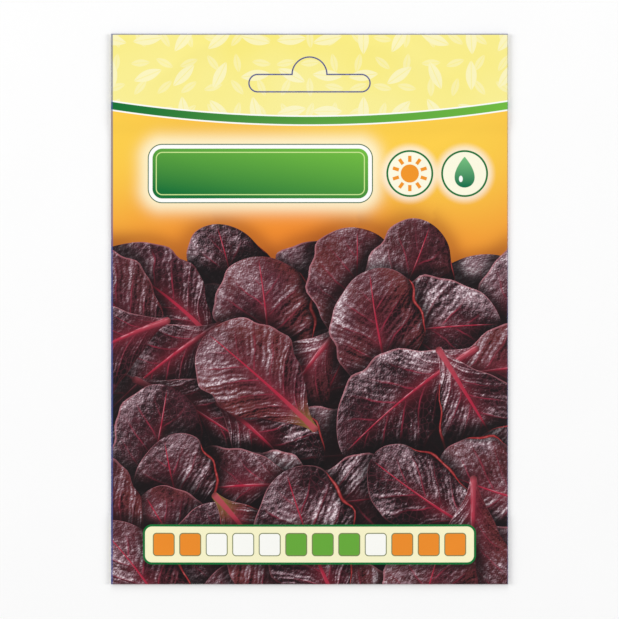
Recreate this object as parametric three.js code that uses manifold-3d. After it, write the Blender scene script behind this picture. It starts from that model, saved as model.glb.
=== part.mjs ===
// A seed packet: one sheet of coated paper, printed on its outside, folded round a
// measure of chicory seed and glued shut. It lies on its back, as it does on a table.
// Millimetres: +X to the packet's right, +Y to its header, +Z out of its printed front.
// The origin is on the surface that it lies on, under the middle of the packet.

import * as THREE from 'three';
import { mergeVertices } from 'three/addons/utils/BufferGeometryUtils.js';
import Module from 'manifold-3d';

const { smoothstep, lerp, seededRandom } = THREE.MathUtils;
const wasm = await Module();
wasm.setup();

// The packet
const WIDTH = 105;
const HEIGHT = 145.6;
const PAPER = 0.15;
const GLUE_GAP = 0.14;
const FRONT_BULGE = 3.6;
const BULGE_LEAN = 0.35;

// The flaps, all folded to the back
const TOP_FLAP = 22;
const BOTTOM_FLAP = 15;
const SIDE_FLAP = 12;
const FLAP_TAPER = 3;
const BACK_EDGE_INSET = 1;

// The hang slot: a flat band with a half-round hump on its upper side
const SLOT_LENGTH = 32;
const SLOT_BAND = 4.6;
const SLOT_HUMP_RADIUS = 4.6;
const SLOT_BELOW_EDGE = 6.2;
const SLIT_WIDTH = 0.3;
const NICK_WIDTH = 0.8;
const NICK_X = SLOT_LENGTH / 3.2;

// The glue lines
const GLUE_THICKNESS = 0.08;
const SEAM_GLUE_WIDTH = 7;
const FLAP_GLUE_LENGTH = 92;
const TOP_GLUE_DEPTH = 4.5;
const BOTTOM_GLUE_DEPTH = 9;
const GLUE_INSET = 1;

// The seeds: achenes, four-sided and narrower at the foot
const SEED_COUNT = 280;
const SEED_LENGTH = 2.8;
const SEED_TOP_RADIUS = 0.62;
const SEED_FOOT_RADIUS = 0.34;
const SEED_SIDES = 4;
const HEAP_RADII = new THREE.Vector3(27, 30, 1.15);
const HEAP_CENTRE = new THREE.Vector3(0, -23, 1.95);
const HEAP_SUNK = 0.12;
const HEAP_REACH = 0.95;
const HEAP_SEED = 41;

// The mesh: cells round each fold, the pitch of the rows and columns, the sides of round
// outlines, and how close points are joined
const FOLD_CELLS = 6;
const ROW_PITCH = 6;
const COLUMN_PITCH = 5.9;
const BACK_COLUMN_PITCH = 3 * COLUMN_PITCH;
const SLOT_SEGMENTS = 10;
const CORE_SEGMENTS = [20, 8];
const WELD = 1e-4;

// Worked out from those
const LAYER = PAPER + GLUE_GAP;
const HALF_WIDTH = WIDTH / 2;
const HALF_HEIGHT = HEIGHT / 2;
const FRONT_CLEAR = 2 * LAYER;
const LEFT_FOLD_RADIUS = LAYER / 2;
const RIGHT_FOLD_RADIUS = LAYER;
const END_FOLD_RADIUS = 1.5 * LAYER;
const FRONT_LEFT = -(HALF_WIDTH - PAPER / 2 - LEFT_FOLD_RADIUS);
const FRONT_RIGHT = HALF_WIDTH - PAPER / 2 - RIGHT_FOLD_RADIUS;
const FRONT_END = HALF_HEIGHT - PAPER / 2 - END_FOLD_RADIUS;
const TOP_FLAP_EDGE = HALF_HEIGHT - TOP_FLAP;
const BOTTOM_FLAP_EDGE = -HALF_HEIGHT + BOTTOM_FLAP;
const STEP_NEAR = 1;
const STEP_FAR = 5;
const SLOT_Y = HALF_HEIGHT - SLOT_BELOW_EDGE - SLOT_HUMP_RADIUS - SLOT_BAND / 2;

/** The back panel's middle plane: on the table, and one layer up over each end flap. */
function backHeight(y) {
  const overTop = smoothstep(y, TOP_FLAP_EDGE - STEP_FAR, TOP_FLAP_EDGE - STEP_NEAR);
  const overBottom = 1 - smoothstep(y, BOTTOM_FLAP_EDGE + STEP_NEAR, BOTTOM_FLAP_EDGE + STEP_FAR);
  return PAPER / 2 + LAYER * Math.max(overTop, overBottom);
}

/** How far the seeds lift the front: a parabola across, a leaning sine along. */
function bulge(x, y) {
  const across = (2 * (x - FRONT_LEFT)) / (FRONT_RIGHT - FRONT_LEFT) - 1;
  const along = (y + FRONT_END) / (TOP_FLAP_EDGE - STEP_NEAR + FRONT_END);
  if (along >= 1) return 0;
  const leaning = along + BULGE_LEAN * along * (1 - along);
  return FRONT_BULGE * Math.max(0, 1 - across ** 2) * Math.sin(Math.PI * leaning);
}

/** The front panel's middle plane. */
function frontHeight(x, y) {
  return backHeight(y) + FRONT_CLEAR + bulge(x, y);
}

function spread(from, to, pitch) {
  const cells = Math.max(1, Math.round(Math.abs(to - from) / pitch));
  return Array.from({ length: cells + 1 }, (_, k) => lerp(from, to, k / cells));
}

/** The angles of a fold's inner stations, from 0, where it leaves the front, to pi. */
function foldAngles() {
  return spread(0, Math.PI, Math.PI / FOLD_CELLS).slice(1, -1);
}

/** Across the sheet: side flap, left fold, front, right fold and back, in that order.
 * Each station gives its middle point and outward direction for a row at height y. */
function sheetColumns() {
  const up = new THREE.Vector3(0, 0, 1);
  const down = new THREE.Vector3(0, 0, -1);
  const place = (x, y, z, out) => ({ middle: new THREE.Vector3(x, y, z), out });
  const sideFold = (sign, edge, radius, angle) => (y) => {
    const turned = new THREE.Vector3(sign * Math.sin(angle), 0, Math.cos(angle));
    const centre = new THREE.Vector3(edge, y, backHeight(y) + FRONT_CLEAR - radius);
    return { middle: centre.addScaledVector(turned, radius), out: turned };
  };
  const seam = spread(-HALF_WIDTH + SIDE_FLAP, FRONT_LEFT, SIDE_FLAP / 2)
    .map((x) => (y) => place(x, y, backHeight(y) + LAYER, down));
  const left = foldAngles().reverse().map((a) => sideFold(-1, FRONT_LEFT, LEFT_FOLD_RADIUS, a));
  const front = spread(FRONT_LEFT, FRONT_RIGHT, COLUMN_PITCH)
    .map((x) => (y) => place(x, y, frontHeight(x, y), up));
  const right = foldAngles().map((a) => sideFold(1, FRONT_RIGHT, RIGHT_FOLD_RADIUS, a));
  const back = spread(FRONT_RIGHT, -HALF_WIDTH + BACK_EDGE_INSET, BACK_COLUMN_PITCH)
    .map((x) => (y) => place(x, y, backHeight(y), down));
  const firstFront = seam.length + left.length;
  return {
    stations: [...seam, ...left, ...front, ...right, ...back],
    firstFront,
    lastFront: firstFront + front.length - 1,
  };
}

/** The rows of the packet's body, finer where the back steps over a flap's edge. */
function bodyRows() {
  const lower = [-FRONT_END, BOTTOM_FLAP_EDGE, BOTTOM_FLAP_EDGE + STEP_NEAR];
  const upper = [TOP_FLAP_EDGE - STEP_NEAR, TOP_FLAP_EDGE, FRONT_END];
  const stepMiddle = (STEP_NEAR + STEP_FAR) / 2;
  return [
    ...spread(lower[0], lower[1], ROW_PITCH),
    lower[2],
    BOTTOM_FLAP_EDGE + stepMiddle,
    ...spread(BOTTOM_FLAP_EDGE + STEP_FAR, TOP_FLAP_EDGE - STEP_FAR, ROW_PITCH),
    TOP_FLAP_EDGE - stepMiddle,
    upper[0],
    ...spread(upper[1], upper[2], ROW_PITCH),
  ];
}

/** Rows round an end fold and down its flap. sign is 1 at the top and -1 at the bottom. */
function endRows(sign, flapEdge) {
  const foldCentre = PAPER / 2 + END_FOLD_RADIUS;
  const fold = foldAngles().map((angle) => (x) => {
    const turned = new THREE.Vector3(0, sign * Math.sin(angle), Math.cos(angle));
    const centre = new THREE.Vector3(x, sign * FRONT_END, foldCentre);
    return { middle: centre.addScaledVector(turned, END_FOLD_RADIUS), out: turned };
  });
  const flap = spread(sign * FRONT_END, flapEdge, ROW_PITCH).map((y) => (x) => {
    const done = Math.abs(y - sign * FRONT_END) / Math.abs(flapEdge - sign * FRONT_END);
    const narrowed = 1 - (FLAP_TAPER * done) / HALF_WIDTH;
    return {
      middle: new THREE.Vector3(x * narrowed, y, PAPER / 2),
      out: new THREE.Vector3(0, 0, -1),
    };
  });
  return [...fold, ...flap];
}

/** A closed sheet of the given thickness over the cells of a grid that hasCell accepts.
 * at(i, j) gives each grid point's middle and outward direction. Both faces are split
 * alike, and every edge with a cell on one side only gets a wall. */
function thickSheet(columns, rows, hasCell, at, thickness) {
  const positions = [];
  const numbers = new Map();
  const vertex = (i, j, side) => {
    const key = `${i} ${j} ${side}`;
    if (!numbers.has(key)) {
      const { middle, out } = at(i, j);
      numbers.set(key, positions.length / 3);
      positions.push(...middle.clone().addScaledVector(out, (side * thickness) / 2));
    }
    return numbers.get(key);
  };
  const index = [];
  const quad = (a, b, c, d) => index.push(a, b, c, a, c, d);
  const wall = (i0, j0, i1, j1) =>
    quad(vertex(i0, j0, -1), vertex(i1, j1, -1), vertex(i1, j1, 1), vertex(i0, j0, 1));
  const filled = (i, j) => i >= 0 && j >= 0 && i < columns - 1 && j < rows - 1 && hasCell(i, j);
  for (let i = 0; i < columns - 1; i += 1) {
    for (let j = 0; j < rows - 1; j += 1) {
      if (!filled(i, j)) continue;
      quad(vertex(i, j, 1), vertex(i + 1, j, 1), vertex(i + 1, j + 1, 1), vertex(i, j + 1, 1));
      index.push(vertex(i, j, -1), vertex(i + 1, j + 1, -1), vertex(i + 1, j, -1));
      index.push(vertex(i, j, -1), vertex(i, j + 1, -1), vertex(i + 1, j + 1, -1));
      if (!filled(i, j - 1)) wall(i, j, i + 1, j);
      if (!filled(i + 1, j)) wall(i + 1, j, i + 1, j + 1);
      if (!filled(i, j + 1)) wall(i + 1, j + 1, i, j + 1);
      if (!filled(i - 1, j)) wall(i, j + 1, i, j);
    }
  }
  const geometry = new THREE.BufferGeometry();
  geometry.setAttribute('position', new THREE.Float32BufferAttribute(positions, 3));
  geometry.setIndex(index);
  return geometry;
}

function toSolid(geometry) {
  const bare = geometry.clone();
  bare.deleteAttribute('normal');
  bare.deleteAttribute('uv');
  const merged = mergeVertices(bare, WELD);
  return new wasm.Manifold(new wasm.Mesh({
    numProp: 3,
    vertProperties: new Float32Array(merged.attributes.position.array),
    triVerts: new Uint32Array(merged.index.array),
  }));
}

function toGeometry(solid) {
  const mesh = solid.getMesh();
  const geometry = new THREE.BufferGeometry();
  geometry.setAttribute('position', new THREE.Float32BufferAttribute(mesh.vertProperties, 3));
  geometry.setIndex([...mesh.triVerts]);
  return geometry;
}

/** The whole folded sheet, before the hang slot is cut. */
function foldedSheet() {
  const { stations, firstFront, lastFront } = sheetColumns();
  const body = bodyRows();
  const bottom = endRows(-1, BOTTOM_FLAP_EDGE).reverse();
  const top = endRows(1, TOP_FLAP_EDGE);
  const firstBody = bottom.length;
  const lastBody = firstBody + body.length - 1;
  const frontX = spread(FRONT_LEFT, FRONT_RIGHT, COLUMN_PITCH);
  const at = (i, j) => {
    if (j < firstBody) return bottom[j](frontX[i - firstFront]);
    if (j > lastBody) return top[j - lastBody - 1](frontX[i - firstFront]);
    return stations[i](body[j - firstBody]);
  };
  const hasCell = (i, j) => {
    const inBody = j >= firstBody && j < lastBody;
    return inBody || (i >= firstFront && i < lastFront);
  };
  const rows = bottom.length + body.length + top.length;
  return thickSheet(stations.length, rows, hasCell, at, PAPER);
}

/** The slot's outline, grown by offset all round. */
function slotOutline(offset) {
  const end = SLOT_LENGTH / 2 - SLOT_BAND / 2;
  const half = SLOT_BAND / 2 + offset;
  const hump = SLOT_HUMP_RADIUS + offset;
  const lean = Math.asin(offset / hump);
  const outline = new THREE.Shape();
  outline.moveTo(-end, -half);
  outline.lineTo(end, -half);
  outline.absarc(end, 0, half, -Math.PI / 2, Math.PI / 2, false);
  outline.absarc(0, SLOT_BAND / 2, hump, lean, Math.PI - lean, false);
  outline.lineTo(-end, half);
  outline.absarc(-end, 0, half, Math.PI / 2, Math.PI * 1.5, false);
  return outline;
}

/** The die's blade: a ring on the outline, with gaps that leave the tab's four nicks. */
function slotBlade() {
  const depth = 4;
  const settings = { depth, bevelEnabled: false, curveSegments: SLOT_SEGMENTS };
  const raise = new THREE.Matrix4().makeTranslation(0, SLOT_Y, -depth / 2);
  const prism = (offset) => toSolid(
    new THREE.ExtrudeGeometry(slotOutline(offset), settings).applyMatrix4(raise),
  );
  let blade = prism(SLIT_WIDTH / 2).subtract(prism(-SLIT_WIDTH / 2));
  const nickAcross = new THREE.BoxGeometry(NICK_WIDTH, SLOT_LENGTH, depth + 1);
  for (const x of [-NICK_X, NICK_X]) {
    blade = blade.subtract(toSolid(nickAcross.clone().translate(x, SLOT_Y, 0)));
  }
  return blade;
}

/** A glue line that follows the back panel, between two of the sheet's layers. */
function glueLine(xs, ys, layersAboveBack) {
  const out = new THREE.Vector3(0, 0, 1);
  const at = (i, j) => ({
    middle: new THREE.Vector3(xs[i], ys[j], backHeight(ys[j]) + layersAboveBack * LAYER),
    out,
  });
  return thickSheet(xs.length, ys.length, () => true, at, GLUE_THICKNESS);
}

function sideSeamGlue() {
  const from = -HALF_WIDTH + (SIDE_FLAP - SEAM_GLUE_WIDTH) / 2 + BACK_EDGE_INSET / 2;
  return glueLine([from, from + SEAM_GLUE_WIDTH], bodyRows().slice(1, -1), 0.5);
}

function flapGlue(from, to) {
  return glueLine([-FLAP_GLUE_LENGTH / 2, FLAP_GLUE_LENGTH / 2], [from, to], -0.5);
}

/** One seed, lying along X. */
function seedGeometry() {
  return new THREE.CylinderGeometry(SEED_TOP_RADIUS, SEED_FOOT_RADIUS, SEED_LENGTH, SEED_SIDES)
    .rotateZ(Math.PI / 2);
}

/** The heap: seeds spread evenly over both faces of a flat core, each lying along the
 * surface, turned at random and sunk into it. */
function seedHeap() {
  seededRandom(HEAP_SEED);
  const core = new THREE.SphereGeometry(1, ...CORE_SEGMENTS)
    .scale(HEAP_RADII.x, HEAP_RADII.y, HEAP_RADII.z)
    .translate(...HEAP_CENTRE);
  const goldenAngle = Math.PI * (3 - Math.sqrt(5));
  const perFace = SEED_COUNT / 2;
  let heap = toSolid(core);
  for (let k = 0; k < SEED_COUNT; k += 1) {
    const side = k < perFace ? 1 : -1;
    const reach = HEAP_REACH * Math.sqrt(((k % perFace) + 0.5) / perFace);
    const turn = k * goldenAngle;
    const onCore = new THREE.Vector3(
      reach * Math.cos(turn),
      reach * Math.sin(turn),
      side * Math.sqrt(1 - reach ** 2),
    );
    const outward = onCore.clone().divide(HEAP_RADII).normalize();
    const place = onCore.multiply(HEAP_RADII).add(HEAP_CENTRE).addScaledVector(outward, -HEAP_SUNK);
    const lie = new THREE.Quaternion().setFromUnitVectors(new THREE.Vector3(0, 0, 1), outward);
    const yaw = new THREE.Quaternion().setFromAxisAngle(
      new THREE.Vector3(0, 0, 1),
      seededRandom() * 2 * Math.PI,
    );
    const matrix = new THREE.Matrix4().compose(place, lie.multiply(yaw), new THREE.Vector3(1, 1, 1));
    heap = heap.add(toSolid(seedGeometry().applyMatrix4(matrix)));
  }
  return toGeometry(heap);
}

function piece(name, geometry, color, roughness) {
  const material = new THREE.MeshStandardMaterial({ color, roughness, metalness: 0 });
  const mesh = new THREE.Mesh(geometry, material);
  mesh.name = name;
  return mesh;
}

const envelope = toGeometry(toSolid(foldedSheet()).subtract(slotBlade()));
const topGlueFrom = TOP_FLAP_EDGE + GLUE_INSET;
const topGlue = flapGlue(topGlueFrom, topGlueFrom + TOP_GLUE_DEPTH);
const bottomGlueTo = BOTTOM_FLAP_EDGE - GLUE_INSET;
const bottomGlue = flapGlue(bottomGlueTo - BOTTOM_GLUE_DEPTH, bottomGlueTo);

const packet = new THREE.Group();
packet.add(piece('envelope', envelope, '#f3b53c', 0.35));
packet.add(piece('side_seam_glue', sideSeamGlue(), '#ece6d2', 0.5));
packet.add(piece('top_flap_glue', topGlue, '#ece6d2', 0.5));
packet.add(piece('bottom_flap_glue', bottomGlue, '#ece6d2', 0.5));
packet.add(piece('seeds', seedHeap(), '#8a6a45', 0.8));

export default packet;
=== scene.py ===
"""A seed packet lying on its back: one folded sheet of coated paper, three glue lines
and the seeds that it holds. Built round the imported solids, in metres."""

import math
from types import SimpleNamespace

import bpy
import numpy as np
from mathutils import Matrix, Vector
from mathutils.geometry import delaunay_2d_cdt


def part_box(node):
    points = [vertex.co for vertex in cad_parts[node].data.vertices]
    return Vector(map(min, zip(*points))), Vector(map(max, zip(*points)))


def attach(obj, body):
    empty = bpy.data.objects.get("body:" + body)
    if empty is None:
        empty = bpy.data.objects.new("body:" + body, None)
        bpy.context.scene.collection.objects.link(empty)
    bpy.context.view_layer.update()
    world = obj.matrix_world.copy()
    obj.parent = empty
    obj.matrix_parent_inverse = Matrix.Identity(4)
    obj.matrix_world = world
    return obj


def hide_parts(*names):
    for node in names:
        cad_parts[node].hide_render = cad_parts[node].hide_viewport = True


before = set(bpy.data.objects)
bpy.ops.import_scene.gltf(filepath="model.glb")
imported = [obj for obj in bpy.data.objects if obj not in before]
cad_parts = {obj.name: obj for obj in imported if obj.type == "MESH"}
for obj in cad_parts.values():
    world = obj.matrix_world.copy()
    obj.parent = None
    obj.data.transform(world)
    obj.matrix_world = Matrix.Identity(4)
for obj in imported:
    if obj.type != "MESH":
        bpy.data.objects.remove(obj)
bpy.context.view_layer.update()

# ---------------- camera, table and lamps
# A pale table top in a light tent. The camera looks straight down on the packet, two
# lamps stand left and right of it, and a weak one behind its header.

mm = 0.001
packet_low, packet_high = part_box("envelope")
width, height = packet_high.x - packet_low.x, packet_high.y - packet_low.y

image_side_px = 619
packet_left_px, packet_right_px = 111.1, 507.9
packet_top_px, packet_bottom_px = 34.0, 584.0
lens_mm, sensor_mm = 200, 36
table_size, tent_brightness = 6, 0.48


def linked(name, data):
    """A new object that holds this data, in the scene at the origin."""
    made = bpy.data.objects.new(name, data)
    bpy.context.collection.objects.link(made)
    return made


metres_per_px = width / (packet_right_px - packet_left_px)
camera_data = bpy.data.cameras.new("camera")
camera_data.lens, camera_data.sensor_width = lens_mm, sensor_mm
camera = linked("camera", camera_data)
camera.location = (
    (image_side_px - packet_left_px - packet_right_px) / 2 * metres_per_px,
    (packet_top_px + packet_bottom_px - image_side_px) / 2 * metres_per_px,
    image_side_px * metres_per_px * lens_mm / sensor_mm,
)
bpy.context.scene.camera = camera
bpy.context.scene.view_settings.view_transform = "Standard"

bpy.ops.mesh.primitive_plane_add(size=table_size)
table = bpy.context.object
table.name = "table"


def lamp(name, place, size, watts):
    """A square soft lamp at place, turned to face the packet."""
    data = bpy.data.lights.new(name, "AREA")
    data.size, data.energy = size, watts
    made = linked(name, data)
    made.location = place
    made.rotation_euler = (-Vector(place)).to_track_quat("-Z", "Y").to_euler()


lamp("lamp_left", place=(-1.35, 0.25, 0.85), size=0.8, watts=11.8)
lamp("lamp_right", place=(1.35, 0.1, 0.9), size=0.8, watts=9.6)
lamp("lamp_header", place=(0.0, 1.5, 0.8), size=0.7, watts=5.8)

world = bpy.data.worlds.new("light_tent")
world.use_nodes = True
tent = world.node_tree.nodes["Background"].inputs
tent["Color"].default_value = (1, 1, 1, 1)
tent["Strength"].default_value = tent_brightness
bpy.context.scene.world = world


def maths(operation, reflected=False):
    """A method that adds one Math node for a value and what it is given, which comes
    first in the reflected form."""
    order = -1 if reflected else 1
    settings = {"operation": operation}
    return lambda *values: values[0].node("ShaderNodeMath", settings, dict(enumerate(values[::order])))


def vector_maths(operation, second=1):
    """The same for a Vector Math node. second is the socket for what it is given."""
    settings = {"operation": operation}
    return lambda self, other: self.node("ShaderNodeVectorMath", settings, {0: self, second: other})


class Shade:
    """A socket in a material's node tree. Its operators and methods add the nodes that
    work an expression out, and give the result's socket."""

    def __init__(self, tree, socket):
        self.tree, self.socket = tree, socket

    def node(self, kind, settings=None, sockets=None, output=0):
        """One node of this type, with its settings and its sockets' values or links."""
        made = self.tree.nodes.new(kind)
        for name, value in (settings or {}).items():
            setattr(made, name, value)
        for key, value in (sockets or {}).items():
            if isinstance(value, Shade):
                self.tree.links.new(value.socket, made.inputs[key])
            else:
                made.inputs[key].default_value = value
        return Shade(self.tree, made.outputs[output])

    __add__ = __radd__ = maths("ADD")
    __mul__ = __rmul__ = maths("MULTIPLY")
    __sub__, __rsub__ = maths("SUBTRACT"), maths("SUBTRACT", reflected=True)
    __truediv__, __rtruediv__ = maths("DIVIDE"), maths("DIVIDE", reflected=True)
    __pow__, __rpow__ = maths("POWER"), maths("POWER", reflected=True)
    abs, sin, cos, exp = maths("ABSOLUTE"), maths("SINE"), maths("COSINE"), maths("EXPONENT")
    fract, floor, root = maths("FRACT"), maths("FLOOR"), maths("SQRT")
    above, below = maths("GREATER_THAN"), maths("LESS_THAN")
    smallest, largest = maths("MINIMUM"), maths("MAXIMUM")
    angle = maths("ARCTAN2")  # a.angle(b) is the angle whose tangent is a / b
    plus, times, scaled = vector_maths("ADD"), vector_maths("MULTIPLY"), vector_maths("SCALE", 3)

    def __neg__(self):
        return self * -1.0

    def length(self, other):
        """The length of the flat vector whose parts are this value and another."""
        return (self * self + other * other).root()

    def step(self, start, end):
        """0 at start and 1 at end, smooth between. start may be the larger."""
        settings = {"interpolation_type": "SMOOTHSTEP"}
        values = {"Value": self, "From Min": start, "From Max": end}
        return self.node("ShaderNodeMapRange", settings, values)

    def within(self, edge, soft=0.05):
        """1 where this distance is under edge, and 0 past it, softened to both sides."""
        return self.step(edge + soft, edge - soft)

    def mix(self, bare, full):
        """The colour bare where this value is 0, and full where it is 1."""
        settings = {"data_type": "RGBA", "blend_type": "MIX", "clamp_factor": True}
        return self.node("ShaderNodeMix", settings, {0: self, 6: bare, 7: full}, 2)

    def parts(self):
        """A vector's three numbers."""
        first = self.node("ShaderNodeSeparateXYZ", None, {0: self})
        return [Shade(self.tree, out) for out in first.socket.node.outputs]

    def vector(self, *numbers):
        """A vector of three numbers in this tree."""
        return self.node("ShaderNodeCombineXYZ", None, dict(enumerate(numbers)))

    def attribute(self, name):
        """One of the mesh's own attributes, as a vector."""
        return self.node("ShaderNodeAttribute", {"attribute_name": name}, None, 1)

    def random(self):
        """A number from 0 to 1 drawn for this vector."""
        return self.node("ShaderNodeTexWhiteNoise", None, {"Vector": self})

    def noise(self, scale, detail):
        """Noise at this vector, 0 to 1."""
        values = {"Vector": self, "Scale": scale, "Detail": detail}
        return self.node("ShaderNodeTexNoise", None, values)

    def cells(self, scale):
        """How far this vector is from the middle of its cell, smoothed."""
        values = {"Vector": self, "Scale": scale, "Smoothness": 0.6}
        return self.node("ShaderNodeTexVoronoi", {"feature": "SMOOTH_F1"}, values)

    def cell_edges(self, scale):
        """How far this vector is from the edge of its cell."""
        values = {"Vector": self, "Scale": scale}
        return self.node("ShaderNodeTexVoronoi", {"feature": "DISTANCE_TO_EDGE"}, values)


def ink(red, green, blue):
    """A printed colour given as 0 to 255, in the shader's linear form."""
    share = np.array([red, green, blue]) / 255
    linear = np.where(share <= 0.04045, share / 12.92, ((share + 0.055) / 1.055) ** 2.4)
    return (*linear.tolist(), 1.0)


def material(name, **fixed):
    """An empty material: its Principled shader, with the fixed sockets set, and its
    Object coordinates in millimetres."""
    made = bpy.data.materials.new(name)
    made.use_nodes = True
    shader = made.node_tree.nodes["Principled BSDF"]
    for socket, value in fixed.items():
        shader.inputs[socket.replace("_", " ")].default_value = value
    place = made.node_tree.nodes.new("ShaderNodeTexCoord").outputs["Object"]
    return made, shader, Shade(made.node_tree, place).scaled(1 / mm)


def connect(shader, **shades):
    """Links each shade to the shader's socket of that name."""
    for socket, shade in shades.items():
        shade.tree.links.new(shade.socket, shader.inputs[socket.replace("_", " ")])


table_white, shader, place = material("table_white", Roughness=0.85)
connect(shader, Base_Color=place.noise(0.05, 3).mix(ink(253, 253, 253), ink(255, 255, 255)))
table.data.materials.append(table_white)

# ---------------- the folded sheet
# The envelope is one sheet of coated paper. Its front folds at both sides into a side
# flap and the back panel, glued over that flap, and at its ends into two flaps that are
# glued over the back. Lengths are in millimetres until the mesh is made.

half_width, half_height = width / mm / 2, height / mm / 2
top_flap, bottom_flap, side_flap, flap_taper = 22.0, 15.0, 12.0, 3.0
back_edge_inset = 1.0
front_lift = 3.45
paper = 0.13

# The solids' paper is thicker. The sheet's layers keep the solids' pitch, so that they
# lie where the solids do.
solid_paper, layer = 0.15, 0.29
front_clear = 2 * layer
left_radius, right_radius, end_radius = layer / 2, layer, 1.5 * layer
front_left = -(half_width - solid_paper / 2 - left_radius)
front_right = half_width - solid_paper / 2 - right_radius
front_end = half_height - solid_paper / 2 - end_radius
top_edge, bottom_edge = half_height - top_flap, -half_height + bottom_flap
step_near, step_far = 1.0, 5.0

slot_length, slot_band, slot_hump, slot_below_edge = 32.0, 4.6, 4.6, 6.2
slot_y = half_height - slot_below_edge - slot_hump - slot_band / 2
slit, nick, nick_x = 0.12, 0.8, 10.0


def smooth(value, start, end):
    """0 at start and 1 at end, with 3t^2 - 2t^3 between."""
    t = np.clip((value - start) / (end - start), 0, 1)
    return t * t * (3 - 2 * t)


def back_height(y):
    """The back panel's middle: on the table, and one layer up over each end flap."""
    over_top = smooth(y, top_edge - step_far, top_edge - step_near)
    over_bottom = 1 - smooth(y, bottom_edge + step_near, bottom_edge + step_far)
    return solid_paper / 2 + layer * np.maximum(over_top, over_bottom)


def bulge(x, y):
    """How far the seeds lift the front: a parabola across times a leaning sine along."""
    across = 2 * (x - front_left) / (front_right - front_left) - 1
    along = np.clip((y + front_end) / (top_edge - step_near + front_end), 0, 1)
    leaning = along + 0.35 * along * (1 - along)
    return np.maximum(0, 1 - across**2) * np.sin(np.pi * leaning)


scallop_height, scallop_reach, dent_height, long_wave_height = 0.22, 13, 0.022, 0.13
crease_start, crease_spread = 0.72, 0.10
# A crease's corner, by the signs of x and y there, its angle in radians and its height.
creases = ((-1, 1, 0.62, 0.20), (1, 1, 0.50, 0.18), (-1, -1, 0.8, 0.16), (1, -1, 0.7, 0.17))


def crumple(x, y):
    """The paper's own small waves, 0 at its folds: scallops that run in from the side
    folds and die away exponentially, long soft creases that are bell curves of the angle
    about a start near each corner, dents where seeds press, and two crossed sines."""
    wall = np.minimum(x - front_left, front_right - x)
    end = np.minimum(y + front_end, front_end - y)
    free = smooth(wall, 0, 3) * smooth(end, 0, 3)
    belly = bulge(x, y)
    side = np.sign(x)
    scallop = np.sin(2 * np.pi * y / (17 + 2 * side) + 1.3 * np.sin(y / 21 + side))
    scallops = scallop_height * scallop * np.exp(-wall / scallop_reach) * smooth(belly, 0.05, 0.4)
    fans = np.zeros_like(x)
    for corner_x, corner_y, turn, crease_height in creases:
        dx, dy = half_width - corner_x * x, half_height * crease_start - corner_y * y
        bell = np.exp(-(((np.arctan2(np.abs(dy), dx) - turn) / crease_spread) ** 2))
        away = np.hypot(dx, dy)
        fans += crease_height * bell * smooth(away, 4, 26) * (1 - smooth(away, 38, 78))
    seeds = np.sin(1.9 * x + 2.2 * np.sin(0.7 * y)) * np.sin(1.7 * y + 1.8 * np.sin(0.8 * x))
    dents = dent_height * seeds * smooth(belly, 0.35, 0.8)
    long_waves = long_wave_height * np.sin(x / 15 + 0.6) * np.sin(y / 24 - 0.4)
    return free * (scallops + fans + dents + long_waves * smooth(belly, 0, 0.5))


def front_height(x, y):
    """The front panel's middle: above the back by its layers, the belly and the waves."""
    return back_height(y) + front_clear + front_lift * bulge(x, y) + crumple(x, y)


def slot_distance(x, y):
    """Signed distance to the hang slot's outline: a flat round-ended band joined to a
    disc on its upper side."""
    band_x = np.maximum(np.abs(x) - (slot_length - slot_band) / 2, 0)
    band = np.hypot(band_x, y - slot_y) - slot_band / 2
    hump = np.hypot(x, y - slot_y - slot_band / 2) - slot_hump
    return np.minimum(band, hump)


def at(*axes):
    """Points whose coordinates are these arrays, any of which may be one number."""
    return np.stack(np.broadcast_arrays(*axes), axis=-1)


def slot_loop(offset):
    """The slot's outline grown by offset, as points from arcs and straight runs."""
    end, half = (slot_length - slot_band) / 2, slot_band / 2 + offset
    hump = slot_hump + offset
    lean = math.asin(offset / hump)
    right = np.linspace(-np.pi / 2, np.pi / 2, 24)
    over = np.linspace(lean, np.pi - lean, 40)
    bottom_x = np.linspace(-end, end, 60)[1:-1]
    top_x = np.linspace(end, hump * math.cos(lean), 20)[1:-1]
    return np.concatenate([
        at(bottom_x, -half),
        at(end + half * np.cos(right), half * np.sin(right)),
        at(top_x, half),
        at(hump * np.cos(over), slot_band / 2 + hump * np.sin(over)),
        at(-top_x[::-1], half),
        at(-end - half * np.cos(right), -half * np.sin(right)),
    ]) + [0, slot_y]


def uncut(points):
    """False where the die has cut: on the slot's outline, apart from its four nicks."""
    x, y = points.T
    return (np.abs(slot_distance(x, y)) >= slit / 2) | (np.abs(np.abs(x) - nick_x) <= nick / 2)


def inside_panel(left, right):
    """A test that accepts uncut points between these sides and the two end folds."""
    def wanted(points):
        x, y = points.T
        return (x > left) & (x < right) & (np.abs(y) < front_end) & uncut(points)

    return wanted


def rectangle(left, right, low, high, pitch):
    """A rectangle's outline, as one loop of points about pitch apart."""
    across = np.linspace(left, right, round((right - left) / pitch))
    up = np.linspace(low, high, round((high - low) / pitch))
    return np.concatenate([
        at(across[:-1], low), at(right, up[:-1]), at(across[:0:-1], high), at(left, up[:0:-1]),
    ])


def fill(left, right, low, high, pitch):
    """Points in staggered rows, pitch apart, inside a rectangle."""
    columns = np.arange(left + pitch / 2, right - pitch / 4, pitch)
    rows = np.arange(low + pitch / 2, high - pitch / 4, pitch * 0.87)
    x, y = np.meshgrid(columns, rows)
    x = x + pitch / 4 * (-1.0) ** np.arange(len(rows))[:, None]
    return at(x.ravel(), y.ravel())


# Inner points keep this clear of an outline, points closer than welded are one, and a
# triangle is flat where twice its area is under flattest.
loop_clear, welded, flattest = 0.45, 0.02, 1e-4


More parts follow.
